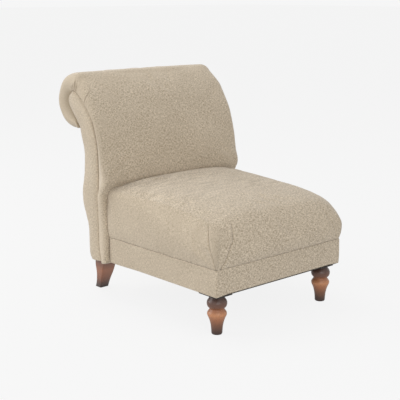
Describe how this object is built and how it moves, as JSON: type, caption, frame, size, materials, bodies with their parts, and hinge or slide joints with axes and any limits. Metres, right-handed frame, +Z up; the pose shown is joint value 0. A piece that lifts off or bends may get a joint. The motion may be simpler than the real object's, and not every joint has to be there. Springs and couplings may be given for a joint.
{
  "type": "slipper chair",
  "caption": "Armless upholstered chair with a deep rounded seat, a back that rolls over rearwards into a scroll, turned front legs and swept square rear legs.",
  "frame": {"origin": "on the floor, under the middle of the chair's outline seen from above", "axes": "+Z up, +Y towards the rear of the chair, +X to the left of someone seated in it"},
  "size_m": [0.656, 0.85, 0.8103],
  "materials": {
    "chenille": "soft mottled chenille, matt",
    "foam": "open-cell upholstery foam, stands in as fabric",
    "felt": "needled grey felt",
    "black_cloth": "black non-woven cloth and webbing",
    "timber": "planed softwood, unfinished",
    "plywood": "sanded plywood, unfinished",
    "leg_wood": "stained and burnished, darker towards the foot, satin lacquer",
    "plate_steel": "black painted steel",
    "steel": "zinc plated"
  },
  "bodies": {
    "root": {"inside_back_cover": "chenille", "seat_cover": "chenille", "seat_border": "chenille", "outside_back_cover": "chenille", "side_facing_left": "chenille", "side_facing_right": "chenille", "inside_back_foam": "foam", "seat_foam": "foam", "spring_felt": "felt", "dust_cover": "black_cloth", "back_web_1": "black_cloth", "back_web_2": "black_cloth", "back_web_3": "black_cloth", "back_web_4": "black_cloth", "front_rail": "timber", "side_rail_left": "timber", "side_rail_right": "timber", "seat_rear_rail": "timber", "front_corner_block_left": "timber", "front_corner_block_right": "timber", "rear_corner_block_left": "timber", "rear_corner_block_right": "timber", "back_bottom_rail": "timber", "back_middle_rail": "timber", "scroll_rail": "timber", "back_upright_left": "plywood", "back_upright_right": "plywood", "scroll_board": "plywood", "outside_back_board": "plywood", "front_leg_left": "leg_wood", "front_leg_right": "leg_wood", "rear_leg_left": "leg_wood", "rear_leg_right": "leg_wood", "leg_plate_left": "plate_steel", "leg_plate_right": "plate_steel", "seat_spring_1": "steel", "seat_spring_2": "steel", "seat_spring_3": "steel", "seat_spring_4": "steel", "front_spring_clip_1": "steel", "front_spring_clip_2": "steel", "front_spring_clip_3": "steel", "front_spring_clip_4": "steel", "rear_spring_clip_1": "steel", "rear_spring_clip_2": "steel", "rear_spring_clip_3": "steel", "rear_spring_clip_4": "steel", "front_leg_bolt_left": "steel", "front_leg_bolt_right": "steel", "rear_leg_bolt_left": "steel", "rear_leg_bolt_right": "steel", "front_leg_nut_left": "steel", "front_leg_nut_right": "steel", "rear_leg_nut_left": "steel", "rear_leg_nut_right": "steel", "joint_bolt_left": "steel", "joint_bolt_right": "steel", "joint_nut_left": "steel", "joint_nut_right": "steel"}
  },
  "joints": []
}
